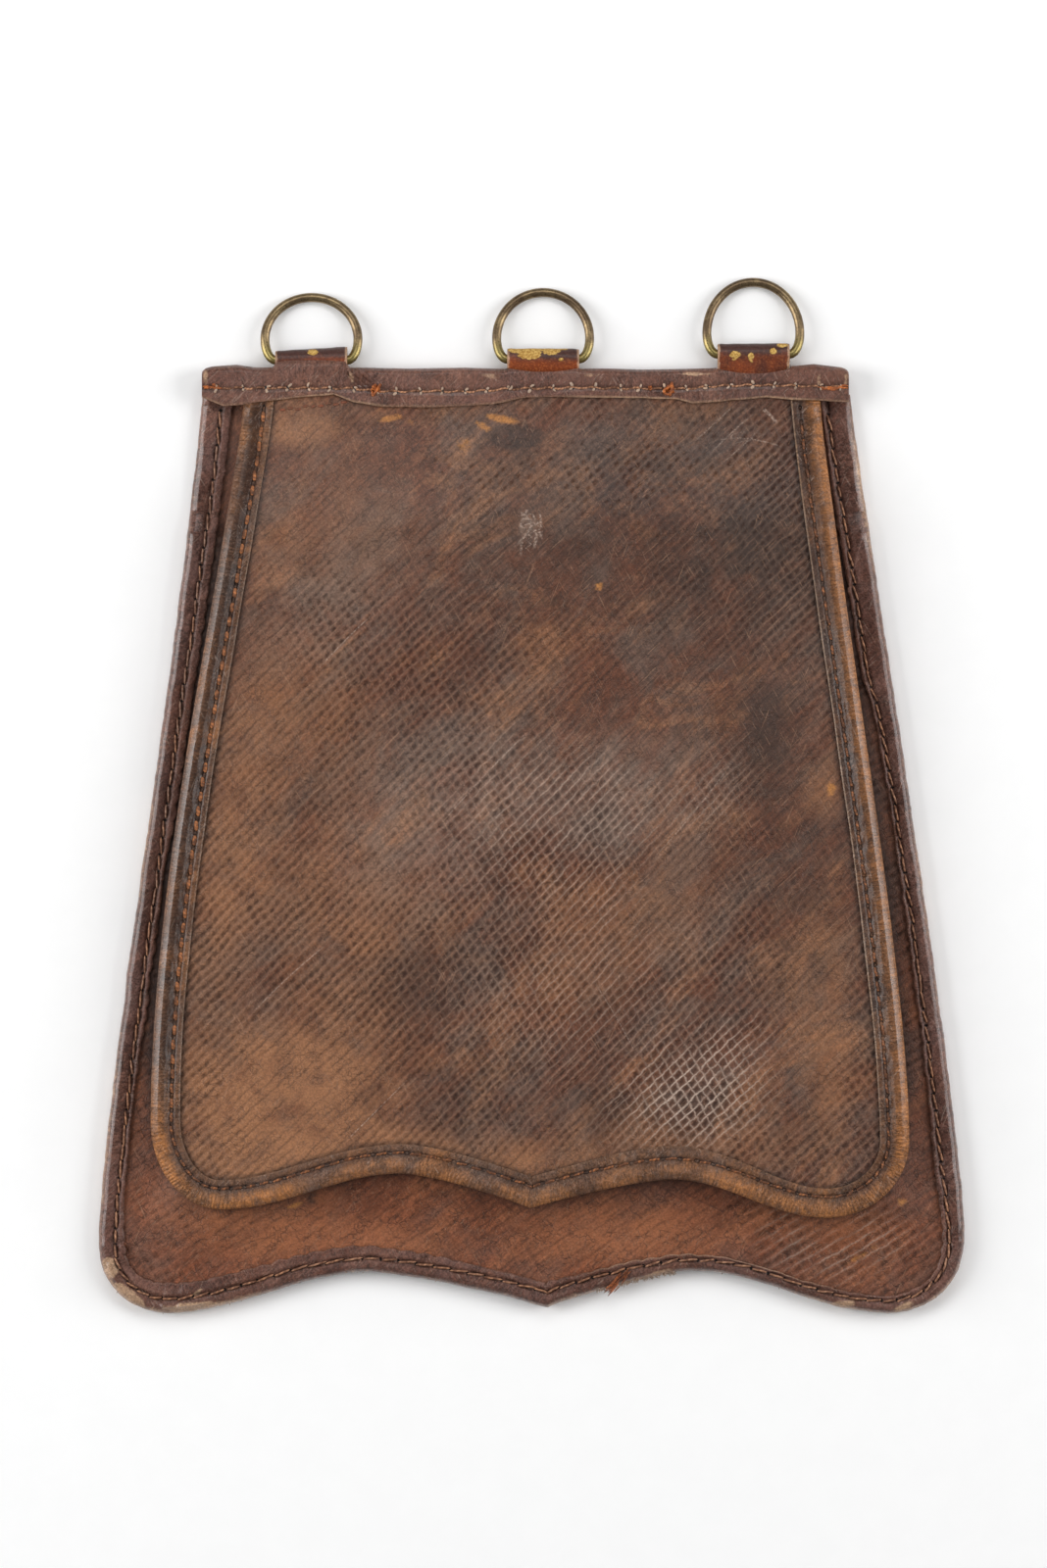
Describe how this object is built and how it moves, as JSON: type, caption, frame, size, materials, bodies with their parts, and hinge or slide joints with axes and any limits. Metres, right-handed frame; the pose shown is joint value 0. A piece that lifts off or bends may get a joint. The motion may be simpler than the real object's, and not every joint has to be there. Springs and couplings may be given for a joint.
{
  "type": "leather sabretache",
  "caption": "Flat leather pouch worn on slings, lying on its back: hatched front flap over an open pouch, folded bindings round the edges, and brass D-rings in leather loops along the top.",
  "frame": {"origin": "on the surface that the sabretache lies on, under the middle of its overall box", "axes": "+Y runs up from the lower point to the rings, +Z out of the flap's face, +X to the right of someone facing the flap"},
  "size_m": [0.2822, 0.3376, 0.0178],
  "materials": {
    "flap_leather": "hatched and rubbed, satin",
    "panel_leather": "red-brown, hatched, matt",
    "binding_leather": "thin strip, worn pale along its edge",
    "flap_edge_leather": "thin strip, polished by wear",
    "loop_leather": "dry, with flaked paint",
    "ring_brass": "dull, tarnished"
  },
  "bodies": {
    "bag": {"back_panel": "panel_leather", "pouch_front": "panel_leather", "flap": "flap_leather", "body_binding": "binding_leather", "flap_binding": "flap_edge_leather", "top_binding": "binding_leather", "ring_loop_left": "loop_leather", "ring_loop_middle": "loop_leather", "ring_loop_right": "loop_leather"},
    "ring_left": {"d_ring_left": "ring_brass"},
    "ring_middle": {"d_ring_middle": "ring_brass"},
    "ring_right": {"d_ring_right": "ring_brass"}
  },
  "joints": [
    {"name": "ring_left_swing", "type": "hinge", "parent": "bag", "child": "ring_left", "pos_m": [-0.0717, 0.14177, 0.005], "axis": [1, 0, 0], "range_deg": [0, 115]},
    {"name": "ring_middle_swing", "type": "hinge", "parent": "bag", "child": "ring_middle", "pos_m": [0.0038, 0.14207, 0.005], "axis": [1, 0, 0], "range_deg": [0, 115]},
    {"name": "ring_right_swing", "type": "hinge", "parent": "bag", "child": "ring_right", "pos_m": [0.0723, 0.14367, 0.005], "axis": [1, 0, 0], "range_deg": [0, 115]}
  ]
}
